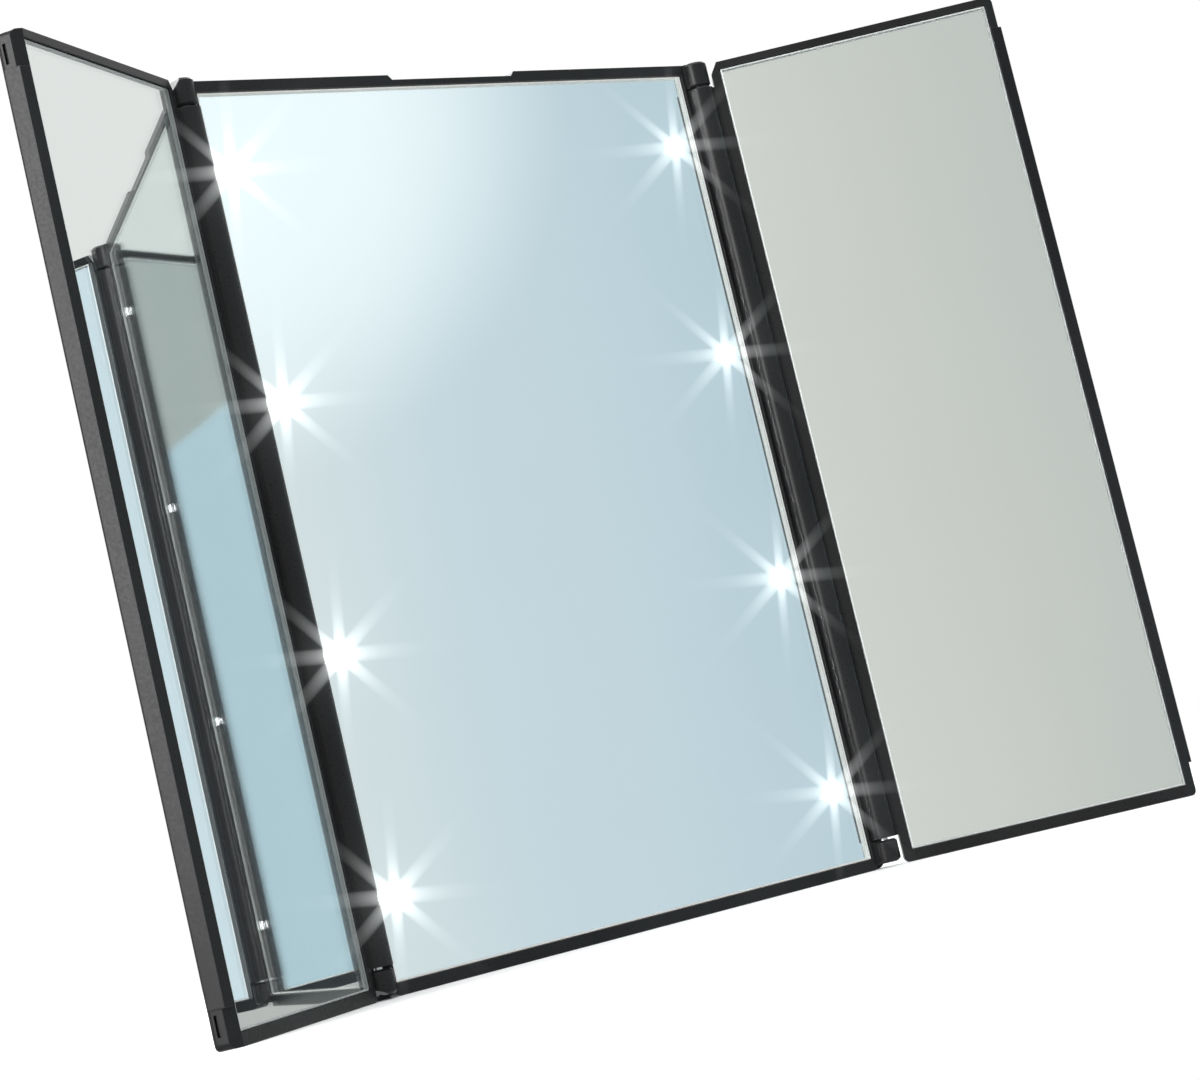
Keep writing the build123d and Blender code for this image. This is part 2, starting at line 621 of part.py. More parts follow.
def feed_lead():
    """From the upper cell's positive tail."""
    return cell_lead(HIGH_TAIL_Y, CELL_Z[1], SWITCH_Z + CELL_PAD_Z, LEAD_DRIFT)


def return_lead():
    """From the lower cell's negative tail."""
    return cell_lead(LOW_TAIL_Y, CELL_Z[0], SWITCH_Z - CELL_PAD_Z, -LEAD_DRIFT)


def left_lamp_lead():
    """Short straight wire from the control board to the left strip board."""
    length = SWITCH_X - LAMP_PAD_X[1] - LEFT_PAD_X
    wire = Cylinder(WIRE_R, length, align=(Align.CENTER, Align.CENTER, Align.MIN))
    return Pos(LEFT_PAD_X, WIRE_Y, SWITCH_Z - LAMP_PAD_Z) * Rot(0, 90, 0) * wire


def right_lamp_lead():
    """From the control board up over the battery bay to the right strip board."""
    points = [
        (LAMP_X, WIRE_Y, SWITCH_Z + LAMP_PAD_Z),
        (LAMP_X, WIRE_Y, OVER_Z),
        (LED_X + SOLDER_R, WIRE_Y, OVER_Z),
    ]
    return lead(points, [2 * WIRE_BEND])


def solder_pads():
    """Pads under the lead ends, on the control board and on both strip boards."""
    board_pads = [
        (PAD_X, SWITCH_Z + CELL_PAD_Z),
        (PAD_X, SWITCH_Z - CELL_PAD_Z),
        (SWITCH_X - LAMP_PAD_X[0], SWITCH_Z - LAMP_PAD_Z),
        (LAMP_X, SWITCH_Z + LAMP_PAD_Z + SOLDER_R),
    ]
    strip_pads = [(LEFT_PAD_X + SOLDER_R, SWITCH_Z - LAMP_PAD_Z), (LED_X, OVER_Z)]
    wire_front_y = WIRE_Y - WIRE_R
    pads = [rod_y(x, z, BOARD_FACE_Y, wire_front_y, SOLDER_R) for x, z in board_pads]
    pads += [rod_y(x, z, BOARD_BACK_Y, wire_front_y, SOLDER_R) for x, z in strip_pads]
    return group(pads)


# ------------------------------------------------------------------ wings, built flat
def wing_outline(y0, y1):
    """Wing slab with its inner-top bevel and small corner radii."""
    across, along = WING_BEVEL
    points = [
        (WING_INNER_EDGE, 0),
        (WING_REACH, 0),
        (WING_REACH, WING_HEIGHT),
        (WING_INNER_EDGE + across, WING_HEIGHT),
        (WING_INNER_EDGE, WING_HEIGHT - along),
    ]
    slab = prism_y(points, y0, y1)
    corners = slab.edges().filter_by(Axis.Y)
    outer = corners.group_by(Axis.X)[-1]
    inner = corners.group_by(Axis.X)[0].sort_by(Axis.Z)[0:1]
    return fillet(outer + inner, WING_CORNER_R)


def wing_hollow(y0, y1, inset):
    return block(WING_INNER_EDGE + inset, WING_REACH - inset, y0, y1, inset, WING_HEIGHT - inset)


def snap_window(z, gap):
    """Room for one snap barb in the outer wall."""
    back_y = WING_SEAM_Y - WINDOW_FROM_SEAM
    half = WINDOW_LENGTH / 2 - gap
    return block(WING_REACH - WING_WALL - FIT_GAP, WING_REACH + PAST,
                 back_y - WINDOW_HEIGHT + gap, back_y - gap, z - half, z + half)


def window_places():
    middle = WINDOW_END + WINDOW_LENGTH / 2
    return (middle, WING_HEIGHT - middle)


def wing_frame():
    frame = wing_outline(WING_FRONT_Y, WING_SEAM_Y)
    slope = [
        (WING_PANE_END + PANE_GAP, WING_FRONT_Y),
        (WING_PANE_END + PANE_GAP, WING_FRONT_Y - PAST),
        (WING_REACH + PAST, WING_FRONT_Y - PAST),
        (WING_REACH + PAST, WING_FRONT_Y + WING_SLOPE),
        (WING_REACH, WING_FRONT_Y + WING_SLOPE),
    ]
    frame -= prism_z(slope, -PAST, WING_HEIGHT + PAST)
    band = [
        (WING_PANE_END + PANE_GAP, WING_FRONT_Y),
        (WING_REACH + BAND_PROUD, WING_FRONT_Y + BAND_SLOPE),
        (WING_REACH + BAND_PROUD, WING_SEAM_Y),
        (WING_PANE_END + PANE_GAP, WING_SEAM_Y),
    ]
    frame += prism_z(band, BAND_END, WING_HEIGHT - BAND_END)

    frame += rod_z(0, 0, BARREL_Z0, BARREL_Z1, BARREL_R)
    frame += block(0, WING_INNER_EDGE + BARREL_WEB, WING_FRONT_Y, BARREL_R, BARREL_Z0, BARREL_Z1)
    for z0, z1 in ((BARREL_Z0 - PAST, POST_LIFT + PIN_INSET + PIN_LENGTH + FIT_GAP),
                   (HEIGHT - PIN_INSET - PIN_LENGTH - FIT_GAP, BARREL_Z1 + PAST)):
        frame -= rod_z(0, 0, z0, z1, PIN_R + RUNNING_GAP)

    frame -= block(WING_PANE_START - PANE_GAP, WING_PANE_END + PANE_GAP, WING_FRONT_Y - PAST,
                   WING_SHELF_Y, PANE_Z0 - PANE_GAP, PANE_Z1 + PANE_GAP)
    frame -= wing_hollow(WING_SHELF_BACK_Y, WING_SEAM_Y + PAST, WING_WALL)
    for z in window_places():
        frame -= snap_window(z, 0)
    return frame


def wing_cover():
    """Rear plate with a locating plug and two snap barbs."""
    flange = wing_outline(WING_SEAM_Y + SEAM_GAP, WING_DEPTH)
    rear = flange.faces().sort_by(Axis.Y)[-1].edges()
    cover = fillet(rear, WING_COVER_FLANGE - 2 * SEAM_GAP)
    inset = WING_WALL + FIT_GAP
    cover += wing_hollow(WING_DEPTH - WING_COVER_THICK, WING_SEAM_Y + 2 * SEAM_GAP, inset)
    for z in window_places():
        arm_x = WING_REACH - inset
        cover += block(arm_x - BARB_ARM, arm_x, WING_SHELF_BACK_Y + FIT_GAP, WING_SEAM_Y,
                       z - WINDOW_LENGTH / 2 + FIT_GAP, z + WINDOW_LENGTH / 2 - FIT_GAP)
        barb = snap_window(z, FIT_GAP)
        reach = block(arm_x - BARB_ROOT, WING_REACH - BARB_SHORT, 0, WING_DEPTH, 0, WING_HEIGHT)
        cover += barb & reach
    return cover


def wing_pane():
    pane = block(WING_PANE_START, WING_PANE_END, WING_PANE_SINK, WING_SILVER_Y, PANE_Z0, PANE_Z1)
    return break_front(pane, GLASS_BEVEL)


def wing_silvering():
    return block(WING_PANE_START, WING_PANE_END, WING_SILVER_Y, WING_TAPE_Y, PANE_Z0, PANE_Z1)


def wing_tape():
    middle = (WING_PANE_START + WING_PANE_END) / 2
    side = (WING_PANE_END - WING_PANE_START) / 2 - WING_TAPE_WIDTH
    size = (WING_TAPE_WIDTH, TAPE_THICK, GLASS_HEIGHT - 2 * TAPE_END)
    return group([centred(middle + x, WING_TAPE_Y, PANE_MID_Z, size) for x in (-side, side)])


def place_wing(piece, side):
    """Turn a flat wing piece to its rest angle on the left (-1) or right (+1) hinge."""
    if side < 0:
        return Pos(-AXIS_X, AXIS_Y, 0) * Rot(0, 0, LEFT_OPEN) * mirror(piece, about=Plane.YZ)
    return Pos(AXIS_X, AXIS_Y, 0) * Rot(0, 0, -RIGHT_OPEN) * piece


# ------------------------------------------------------------------ assembly
def build():
    nodes = {
        "front_frame": front_frame(),
        "back_cover": back_cover(),
        "centre_mirror_glass": centre_mirror_glass(),
        "centre_silvering": centre_silvering(),
        "centre_tape": centre_tape(),
        "led_board_left": led_board(-1),
        "led_board_right": led_board(1),
        "leds_left": led_set(-1),
        "leds_right": led_set(1),
        "control_board": control_board(),
        "resistors": resistors(),
        "switch_housing": switch_housing(),
        "switch_knob": switch_knob(),
        "coin_cell_lower": coin_cell(CELL_Z[0]),
        "coin_cell_upper": coin_cell(CELL_Z[1]),
        "negative_contacts": group([negative_tab(z, 0) for z in CELL_Z]),
        "positive_contacts": group([positive_tab(z, 0) for z in CELL_Z]),
        "cell_link": cell_link(),
        "feed_lead": feed_lead(),
        "return_lead": return_lead(),
        "left_lamp_lead": left_lamp_lead(),
        "right_lamp_lead": right_lamp_lead(),
        "solder_pads": solder_pads(),
        "battery_door": battery_door(),
        "case_screws": case_screws(),
        "left_hinge_pins": hinge_pins(-1),
        "right_hinge_pins": hinge_pins(1),
    }
    wing_pieces = {
        "wing_frame": wing_frame(),
        "wing_cover": wing_cover(),
        "wing_mirror_glass": wing_pane(),
        "wing_silvering": wing_silvering(),
        "wing_tape": wing_tape(),
    }
    for name, piece in wing_pieces.items():
        nodes["left_" + name] = place_wing(piece, -1)
        nodes["right_" + name] = place_wing(piece, 1)
    return nodes


def main():
    os.makedirs("parts", exist_ok=True)
    for name, solid in build().items():
        export_step(solid, os.path.join("parts", name + ".step"))


if __name__ == "__main__":
    main()
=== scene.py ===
"""Looks of a three-panel folding mirror with eight lamps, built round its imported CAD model.

Everything is in metres, in the CAD frame: +X to the right along the centre panel, +Y away from
the front of the panes, +Z up, with the origin on the centre panel's bottom face.
"""

import json
import math

import bpy
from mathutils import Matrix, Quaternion, Vector

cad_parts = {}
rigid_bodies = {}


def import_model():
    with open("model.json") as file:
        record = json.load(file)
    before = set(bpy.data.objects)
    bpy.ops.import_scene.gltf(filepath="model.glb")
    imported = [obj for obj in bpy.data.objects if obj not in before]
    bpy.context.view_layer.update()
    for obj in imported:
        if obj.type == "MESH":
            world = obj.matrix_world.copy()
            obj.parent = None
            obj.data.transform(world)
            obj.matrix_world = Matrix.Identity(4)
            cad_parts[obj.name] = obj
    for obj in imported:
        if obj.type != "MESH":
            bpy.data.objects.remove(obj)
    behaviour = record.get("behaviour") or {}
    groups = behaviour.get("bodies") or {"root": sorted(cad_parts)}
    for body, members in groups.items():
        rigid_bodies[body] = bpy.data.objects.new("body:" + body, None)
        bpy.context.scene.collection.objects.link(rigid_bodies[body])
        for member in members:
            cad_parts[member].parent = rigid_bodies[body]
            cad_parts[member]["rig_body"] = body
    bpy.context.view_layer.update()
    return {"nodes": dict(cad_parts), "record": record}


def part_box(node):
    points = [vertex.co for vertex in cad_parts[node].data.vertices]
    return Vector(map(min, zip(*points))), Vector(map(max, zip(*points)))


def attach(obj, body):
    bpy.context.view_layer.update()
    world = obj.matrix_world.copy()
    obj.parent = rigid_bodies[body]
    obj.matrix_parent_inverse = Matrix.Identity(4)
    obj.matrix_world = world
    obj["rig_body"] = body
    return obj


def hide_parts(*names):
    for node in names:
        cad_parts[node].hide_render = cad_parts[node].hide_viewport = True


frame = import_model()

SIDES = ("left", "right")
CENTRE_FACING = Vector((0.0, -1.0, 0.0))

# ------------------------------------------------------------------ camera
CAMERA_PLACE = Vector((-0.3648, -0.4309, 0.0179))
CAMERA_AIM = Vector((-0.0006, -0.0017, 0.0912))
CAMERA_ROLL = math.radians(-13.24)
CAMERA_LENS = 97.0
CAMERA_SENSOR = 36.0
CAMERA_SHIFT = (0.0668, -0.1002)
CAMERA_NEAR = 0.01
CAMERA_FAR = 20.0

# ------------------------------------------------------------------ floor
FLOOR_RADIUS = 0.40
FLOOR_SOLID_RADIUS = 0.14    # past this the floor fades into the studio
FLOOR_STEPS = 96
FLOOR_COLOUR = (0.86, 0.865, 0.87)
FLOOR_SHADE = tuple(0.99 * part for part in FLOOR_COLOUR)
FLOOR_GRAIN = 0.02
FLOOR_ROUGHNESS = (0.5, 0.6)
FLOOR_SHINE = 0.2

# ------------------------------------------------------------------ studio
# colour round the horizon: turn from +X in degrees, then the colour there
STUDIO_RING = (
    (-180, (0.93, 0.94, 0.93)),
    (-150, (0.80, 0.82, 0.80)),
    (-130, (0.70, 0.695, 0.655)),
    (-121, (0.56, 0.575, 0.545)),
    (-104, (0.66, 0.74, 0.77)),
    (-91, (0.71, 0.81, 0.865)),
    (-82, (0.56, 0.70, 0.77)),
    (-66, (0.52, 0.66, 0.72)),
    (-56, (0.74, 0.80, 0.80)),
    (-50, (0.60, 0.71, 0.77)),
    (-44, (0.50, 0.63, 0.69)),
    (-20, (0.68, 0.74, 0.71)),
    (8, (0.80, 0.80, 0.78)),
    (25, (1.0, 1.0, 1.0)),
    (180, (0.93, 0.94, 0.93)),
)
# above and below the ring: colour, and the sines of the heights where it starts and is whole
STUDIO_TOP = (1.0, 1.0, 1.0)
STUDIO_TOP_HEIGHTS = (0.35, 0.75)
STUDIO_LOW = (0.72, 0.76, 0.78)
STUDIO_LOW_HEIGHTS = (-0.12, -0.30)

# grey cards: turn, half width and fade in degrees; sines of the heights where the card starts and
# is whole; how much those heights climb for each radian of turn; colour
STUDIO_CARDS = (
    (-73, 10, 4, (0.153, 0.157), 0.5, (0.46, 0.495, 0.475)),
    (8, 17, 8, (0.060, 0.000), 0.0, (0.50, 0.505, 0.49)),
)

CLOUD_TOWARDS = Vector((0.57, -0.785, 0.235)).normalized()
CLOUD_COLOUR = (0.94, 1.03, 1.05)
CLOUD_SPREAD = (0.9935, 0.9999)       # cosines of its outer edge and of its core

BACKDROP_COLOUR = (1.0, 1.0, 1.0)     # what is seen past the mirror itself

# softboxes: name, direction from the mirror, distance, size, power, colour
SOFTBOXES = (
    ("side_softbox", (-0.93, -0.25, 0.30), 0.9, (0.35, 0.7), 9.0, (1.0, 1.0, 1.0)),
    ("top_softbox", (-0.15, -0.25, 1.0), 1.0, (0.9, 0.9), 8.0, (1.0, 1.0, 0.99)),
    ("rear_softbox", (0.3, 1.0, 0.7), 1.0, (0.8, 0.6), 11.0, (0.97, 0.99, 1.0)),
)
AIM_HEIGHT = 0.08

# lens glare, from light brighter than the threshold
GLARE_THRESHOLD = 3.0
GLARES = (
    ("BLOOM", {"Strength": 1.0, "Size": 0.45}),
    ("STREAKS", {
        "Strength": 0.3,
        "Streaks": 8,
        "Streaks Angle": math.radians(5),
        "Iterations": 4,
        "Fade": 0.95,
    }),
)

# how often light is followed through the glass and silver of all three panes
LIGHT_PASSES = 40
MIRROR_PASSES = 16

# ------------------------------------------------------------------ finishes
BLACK = (0.006, 0.006, 0.0065)
LIT_BLACK = (0.011, 0.011, 0.012)
WORN_BLACK = (0.11, 0.11, 0.115)

# middle part of a noise pattern, over which one tone or roughness turns into the other
TONE_SPREAD = (0.35, 0.65)
GRAIN_SPREAD = (0.3, 0.7)

# black plastics: slot, material, least and most roughness, grain size and depth, edge radius, edge wear
BLACK_PLASTICS = (
    ("black_case", "black_gloss_case", (0.26, 0.36), 0.0005, 0.000004, 0.00016, 0.35),
    ("black_cover", "black_satin_cover", (0.46, 0.60), 0.00035, 0.000009, 0.00022, 0.45),
    ("black_knob", "black_knob", (0.40, 0.52), 0.0004, 0.000008, 0.00015, 0.6),
)
PLASTIC_IOR = 1.52
PLASTIC_SHINE = 0.18
FLOW_SIZE = 0.018
FLOW_STRETCH = (1.0, 1.0, 0.35)
SCUFF_SIZE = 0.006
SCUFF_STRETCH = (1.0, 1.0, 0.08)
SCUFF_SPREAD = (0.58, 0.75)
SCUFF_ROUGHNESS = 0.06
WEAR_LEAST = 0.3               # share of the edge wear where the flow pattern is darkest
WEAR_TURNS = (0.80, 0.995)     # cosines between true and softened normal, on an edge and on a flat
EDGE_SAMPLES = 6

# soft plastics, coatings and tape: slot, material, darker and lighter tone, roughness, grain size and depth
SOFT_PLASTICS = (
    ("foam_tape", "foam_tape", (0.72, 0.71, 0.67), (0.82, 0.81, 0.77), 0.85, 0.0004, 0.00003),
    ("circuit_board", "white_board", (0.76, 0.78, 0.76), (0.84, 0.86, 0.84), 0.42, 0.0003, 0.000008),
    ("resistor_black", "chip_resistor", (0.02, 0.02, 0.022), (0.04, 0.04, 0.043), 0.5, 0.0002, 0.00001),
    ("red_wire", "red_insulation", (0.42, 0.012, 0.01), (0.52, 0.02, 0.015), 0.42, 0.0004, 0.00001),
    ("black_wire", "black_insulation", BLACK, (0.022, 0.022, 0.024), 0.42, 0.0004, 0.00001),
    ("lamp_body", "lamp_body", (0.84, 0.84, 0.82), (0.90, 0.90, 0.88), 0.4, 0.0002, 0.000004),
)
SOFT_ROUGHNESS_SPREAD = 0.07
SOFT_CLOUD = 6.0               # size of the tone's clouds, in grains

# metals: slot, material, darker and lighter tone, roughness, stretch of the brushed streaks
ALONG_Z = (1.0, 1.0, 0.1)
ALONG_X = (0.1, 1.0, 1.0)
ACROSS_X = (1.0, 0.1, 0.1)
UNBRUSHED = (1.0, 1.0, 1.0)
METALS = (
    ("plated_steel", "nickel_plate", (0.55, 0.54, 0.51), (0.66, 0.65, 0.62), 0.3, ALONG_Z),
    ("cell_steel", "cell_steel", (0.60, 0.60, 0.59), (0.70, 0.70, 0.69), 0.24, ACROSS_X),
    ("spring_brass", "spring_brass", (0.68, 0.49, 0.20), (0.80, 0.60, 0.28), 0.3, ALONG_X),
    ("solder", "solder", (0.58, 0.58, 0.57), (0.70, 0.70, 0.69), 0.34, UNBRUSHED),
    ("screw_steel", "blackened_steel", (0.05, 0.05, 0.052), (0.10, 0.10, 0.104), 0.38, UNBRUSHED),
    ("pin_steel", "drawn_steel", (0.50, 0.50, 0.51), (0.62, 0.62, 0.63), 0.26, ALONG_Z),
)
METAL_ROUGHNESS_SPREAD = 0.08
METAL_EDGE = 0.00008
BRUSH_SIZE = 0.0012
BRUSH_DEPTH = 0.00001
TARNISH_SIZE = 0.006

# glass and silver, each with two tones
CLEAR_TONES = ((0.965, 0.985, 0.985), (0.975, 0.99, 0.992))
GROUND_TONES = ((0.76, 0.80, 0.78), (0.90, 0.92, 0.90))
SILVER_TONES = ((0.955, 0.965, 0.965), (0.965, 0.975, 0.975))
GLASS_IOR = 1.5
POLISH = 0.004                 # most roughness of a polished face
WIPE_SIZE = 0.03
WIPE_STRETCH = (1.0, 1.0, 0.4)
WIPE_SPREAD = (0.55, 0.75)
SILVER_CLOUD = 0.05
SILVER_SPREAD = (0.4, 0.6)
FROST_SIZE = 0.0004
FROST_ROUGHNESS = (0.5, 0.75)
FROST_CLEARNESS = 0.15         # how much light still passes a ground edge
EDGE_TURNS = (0.85, 0.98)      # cosines to the pane's own direction, on an edge and on a face

# painted glow: emission that makes the centre pane's ground edges shine, standing in for lamp light carried
# inside the pane
NO_LIGHT = (0.0, 0.0, 0.0)
PAINTED_EDGE_GLOW_COLOUR = (1.0, 0.98, 0.93)
PAINTED_EDGE_GLOW_STRENGTH = 0.25

# lit lamps: white, and cooler patches
LAMP_TONES = ((1.0, 1.0, 1.0), (0.97, 0.99, 1.0))
LAMP_GLOW = 14.0
PHOSPHOR_GRAIN = 0.0006
PHOSPHOR_DEPTH = 0.00002
PHOSPHOR_ROUGHNESS = (0.45, 0.6)

# ------------------------------------------------------------------ sizes of the new pieces
SAME_WAY = 0.99                # a face looks along a direction when the cosine between them is above this
MERGE_DISTANCE = 0.000002

# mirror film
FILM_FRONT_GAP = 0.00002       # behind the glass
FILM_BACK_GAP = 0.00001        # in front of the tape

# lamps
LAMP_PITCH = 0.0402            # outer lamp to its neighbour
LAMP_HEIGHT = 0.0035
LAMP_BODY_DEPTH = 0.00055
LAMP_CORNER = 0.00015
LAMP_RIM = 0.00010
LAMP_CUP = 0.00010
LAMP_CUP_TAPER = 0.88          # cup's floor to its mouth
LAMP_DOME_R = 0.00128
LAMP_DOME_RISE = 0.00079
LAMP_DOME_SEGMENTS = 28
LAMP_DOME_SMOOTH = math.radians(35)
LAMP_TAB_WIDTH = 0.0020
LAMP_TAB_OUT = 0.00012
LAMP_TAB_DEPTH = 0.00030
LAMP_TAB_CORNER = LAMP_TAB_OUT / 3
CORNER_SEGMENTS = 2


# ------------------------------------------------------------------ node helpers
class Nodes:
    """A node tree and the short-hands that build it."""

    def __init__(self, tree):
        self.tree = tree

    def node(self, kind, **settings):
        made = self.tree.nodes.new(kind)
        for key, value in settings.items():
            setattr(made, key, value)
        return made

    def join(self, source, target):
        """Links a socket to target, or sets target to a number, a direction or a colour."""
        if isinstance(source, (int, float)):
            target.default_value = source
        elif isinstance(source, (tuple, Vector)):
            target.default_value = source if len(source) == len(target.default_value) else (*source, 1.0)
        else:
            self.tree.links.new(source, target)

    def ranged(self, value, low, high, spread=(0.0, 1.0), **settings):
        """Turns the values of spread into low to high, and holds those past its ends."""
        made = self.node("ShaderNodeMapRange", clamp=True, **settings)
        self.join(value, made.inputs["Value"])
        made.inputs["From Min"].default_value, made.inputs["From Max"].default_value = spread
        made.inputs["To Min"].default_value = low
        made.inputs["To Max"].default_value = high
        return made.outputs["Result"]

    def eased(self, value, start, whole):
        """0 up to start and 1 from whole on, with a smooth step between them."""
        return self.ranged(value, 0.0, 1.0, (start, whole), interpolation_type="SMOOTHSTEP")

    def maths(self, operation, first, second=0.0):
        made = self.node("ShaderNodeMath", operation=operation)
        self.join(first, made.inputs[0])
        self.join(second, made.inputs[1])
        return made.outputs["Value"]

    def cosine(self, first, second):
        """Cosine between two directions."""
        made = self.node("ShaderNodeVectorMath", operation="DOT_PRODUCT")
        self.join(first, made.inputs[0])
        self.join(second, made.inputs[1])
        return made.outputs["Value"]

    def blend(self, share, first, second):
        made = self.node("ShaderNodeMix", data_type="RGBA")
        self.join(share, made.inputs["Factor"])
        self.join(first, made.inputs[6])
        self.join(second, made.inputs[7])
        return made.outputs[2]


class Finish(Nodes):
    """One material and the short-hands that build its nodes."""

    def __init__(self, name):
        self.material = bpy.data.materials.new(name)
        self.material.use_nodes = True
        super().__init__(self.material.node_tree)
        self.shader = self.tree.nodes["Principled BSDF"]
        self.places = self.node("ShaderNodeTexCoord").outputs["Object"]

    def noise(self, size, detail=3.0, stretch=(1.0, 1.0, 1.0)):
        """Cloudy pattern whose features are about size metres across."""
        mapping = self.node("ShaderNodeMapping")
        self.join(self.places, mapping.inputs["Vector"])
        mapping.inputs["Scale"].default_value = stretch
        made = self.node("ShaderNodeTexNoise")
        self.join(mapping.outputs["Vector"], made.inputs["Vector"])
        made.inputs["Scale"].default_value = 1.0 / size
        made.inputs["Detail"].default_value = detail
        return made.outputs["Fac"]

    def toned(self, pattern, tones):
        """Two tones that turn into each other in clouds of the pattern."""
        return self.blend(self.ranged(pattern, 0.0, 1.0, TONE_SPREAD), *tones)

    def bump(self, height, depth, under=None):
        made = self.node("ShaderNodeBump")
        made.inputs["Distance"].default_value = depth
        self.join(height, made.inputs["Height"])
        if under is not None:
            self.join(under, made.inputs["Normal"])
        return made.outputs["Normal"]

    def soft_edges(self, radius):
        made = self.node("ShaderNodeBevel", samples=EDGE_SAMPLES)
        made.inputs["Radius"].default_value = radius
        return made.outputs["Normal"]

    def edge_wear(self, radius):
        """Near 1 on edges and 0 on flats, from how far the softened normal turns."""
        true_normal = self.node("ShaderNodeNewGeometry").outputs["True Normal"]
        return self.ranged(self.cosine(self.soft_edges(radius), true_normal), 1.0, 0.0, WEAR_TURNS)

    def set(self, **sockets):
        for key, value in sockets.items():
            self.join(value, self.shader.inputs[key.replace("_", " ")])


# ------------------------------------------------------------------ materials
def black_plastic(name, gloss, grain, grain_depth, edge_radius, wear):
    """Moulded black plastic: flow marks, fine grain, handling marks and lighter worn edges."""
    made = Finish(name)
    flow = made.noise(FLOW_SIZE, detail=4.0, stretch=FLOW_STRETCH)
    fine = made.noise(grain, detail=2.0)
    scuffs = made.ranged(made.noise(SCUFF_SIZE, detail=6.0, stretch=SCUFF_STRETCH), 0.0, 1.0, SCUFF_SPREAD)
    edges = made.maths("MULTIPLY", made.edge_wear(edge_radius), made.ranged(flow, WEAR_LEAST, 1.0))
    colour = made.toned(flow, (BLACK, LIT_BLACK))
    colour = made.blend(made.maths("MULTIPLY", edges, wear), colour, WORN_BLACK)
    roughness = made.ranged(fine, *gloss, GRAIN_SPREAD)
    roughness = made.maths("ADD", roughness, made.maths("MULTIPLY", scuffs, SCUFF_ROUGHNESS))
    normal = made.bump(fine, grain_depth, made.soft_edges(edge_radius))
    made.set(Base_Color=colour, Roughness=roughness, Normal=normal)
    made.set(IOR=PLASTIC_IOR, Specular_IOR_Level=PLASTIC_SHINE)
    return made.material


def metal(name, dark, light, rough, brush):
    """Plated or drawn metal with brushed streaks and cloudy tarnish."""
    made = Finish(name)
    streaks = made.noise(BRUSH_SIZE, detail=4.0, stretch=brush)
    colour = made.toned(made.noise(TARNISH_SIZE), (dark, light))
    smoothest, roughest = rough - METAL_ROUGHNESS_SPREAD, rough + METAL_ROUGHNESS_SPREAD
    roughness = made.ranged(streaks, smoothest, roughest, GRAIN_SPREAD)
    normal = made.bump(streaks, BRUSH_DEPTH, made.soft_edges(METAL_EDGE))
    made.set(Base_Color=colour, Roughness=roughness, Normal=normal, Metallic=1.0)
    return made.material


def soft_plastic(name, dark, light, rough, size, depth):
    """Insulation, tape, lamp bodies and board coatings."""
    made = Finish(name)
    colour = made.toned(made.noise(size * SOFT_CLOUD), (dark, light))
    fine = made.noise(size, detail=2.0)
    smoothest, roughest = rough - SOFT_ROUGHNESS_SPREAD, rough + SOFT_ROUGHNESS_SPREAD
    roughness = made.ranged(fine, smoothest, roughest, GRAIN_SPREAD)
    made.set(Base_Color=colour, Roughness=roughness, Normal=made.bump(fine, depth))
    return made.material


def clear_glass(name, facing, painted_edge_glow=0.0):
    """Float glass with a cool tint and faint wiping marks; its ground edges are frosted.

    facing is the way that the pane's front looks, and what doesn't look that way or away from it is edge.
    The last argument is the strength of a painted glow: emission on the ground edges, standing in for light
    carried from inside the pane.
    """
    made = Finish(name)
    wipes = made.noise(WIPE_SIZE, detail=5.0, stretch=WIPE_STRETCH)
    frost = made.noise(FROST_SIZE)
    normal = made.node("ShaderNodeTexCoord").outputs["Normal"]
    edge = made.ranged(made.maths("ABSOLUTE", made.cosine(normal, facing)), 1.0, 0.0, EDGE_TURNS)
    colour = made.blend(edge, made.toned(wipes, CLEAR_TONES), made.toned(frost, GROUND_TONES))
    smooth = made.ranged(wipes, 0.0, POLISH, WIPE_SPREAD)
    rough = made.maths("MULTIPLY", edge, made.ranged(frost, *FROST_ROUGHNESS, GRAIN_SPREAD))
    made.set(Base_Color=colour, Roughness=made.maths("ADD", smooth, rough), IOR=GLASS_IOR)
    made.set(Transmission_Weight=made.ranged(edge, 1.0, FROST_CLEARNESS))
    # painted glow: the ground edges emit light, though they are no lamp
    if painted_edge_glow:
        made.set(Emission_Color=made.blend(edge, NO_LIGHT, PAINTED_EDGE_GLOW_COLOUR), Emission_Strength=painted_edge_glow)
    return made.material


def silver_coating():
    """Silver behind the glass, with a barely uneven tone."""
    made = Finish("silver_coating")
    cloud = made.noise(SILVER_CLOUD)
    roughness = made.ranged(cloud, 0.0, POLISH, SILVER_SPREAD)
    made.set(Base_Color=made.toned(cloud, SILVER_TONES), Roughness=roughness, Metallic=1.0)
    return made.material


def lamp_face():
    """Lit lamp: white, and a little cooler in patches of its phosphor."""
    made = Finish("lit_lamp")
    grain = made.noise(PHOSPHOR_GRAIN, detail=2.0)
    colour = made.toned(grain, LAMP_TONES)
    made.set(Base_Color=colour, Roughness=made.ranged(grain, *PHOSPHOR_ROUGHNESS))
    made.set(Emission_Color=colour, Emission_Strength=LAMP_GLOW, Normal=made.bump(grain, PHOSPHOR_DEPTH))
    return made.material


def make_finishes():
    """A finish for every material slot of the record, and one for the lamp bodies."""
    finishes = {slot: black_plastic(*values) for slot, *values in BLACK_PLASTICS}
    # the centre pane gets a painted glow on its ground edges
    finishes["clear_glass"] = clear_glass("centre_pane_glass", CENTRE_FACING, PAINTED_EDGE_GLOW_STRENGTH)
    finishes["silvering"] = silver_coating()
    finishes["lamp_white"] = lamp_face()
    finishes.update({slot: soft_plastic(*values) for slot, *values in SOFT_PLASTICS})
    finishes.update({slot: metal(*values) for slot, *values in METALS})
    return finishes


def paint(piece, material):
    """Gives a piece one material all over."""
    piece.data.materials.clear()
    piece.data.materials.append(material)


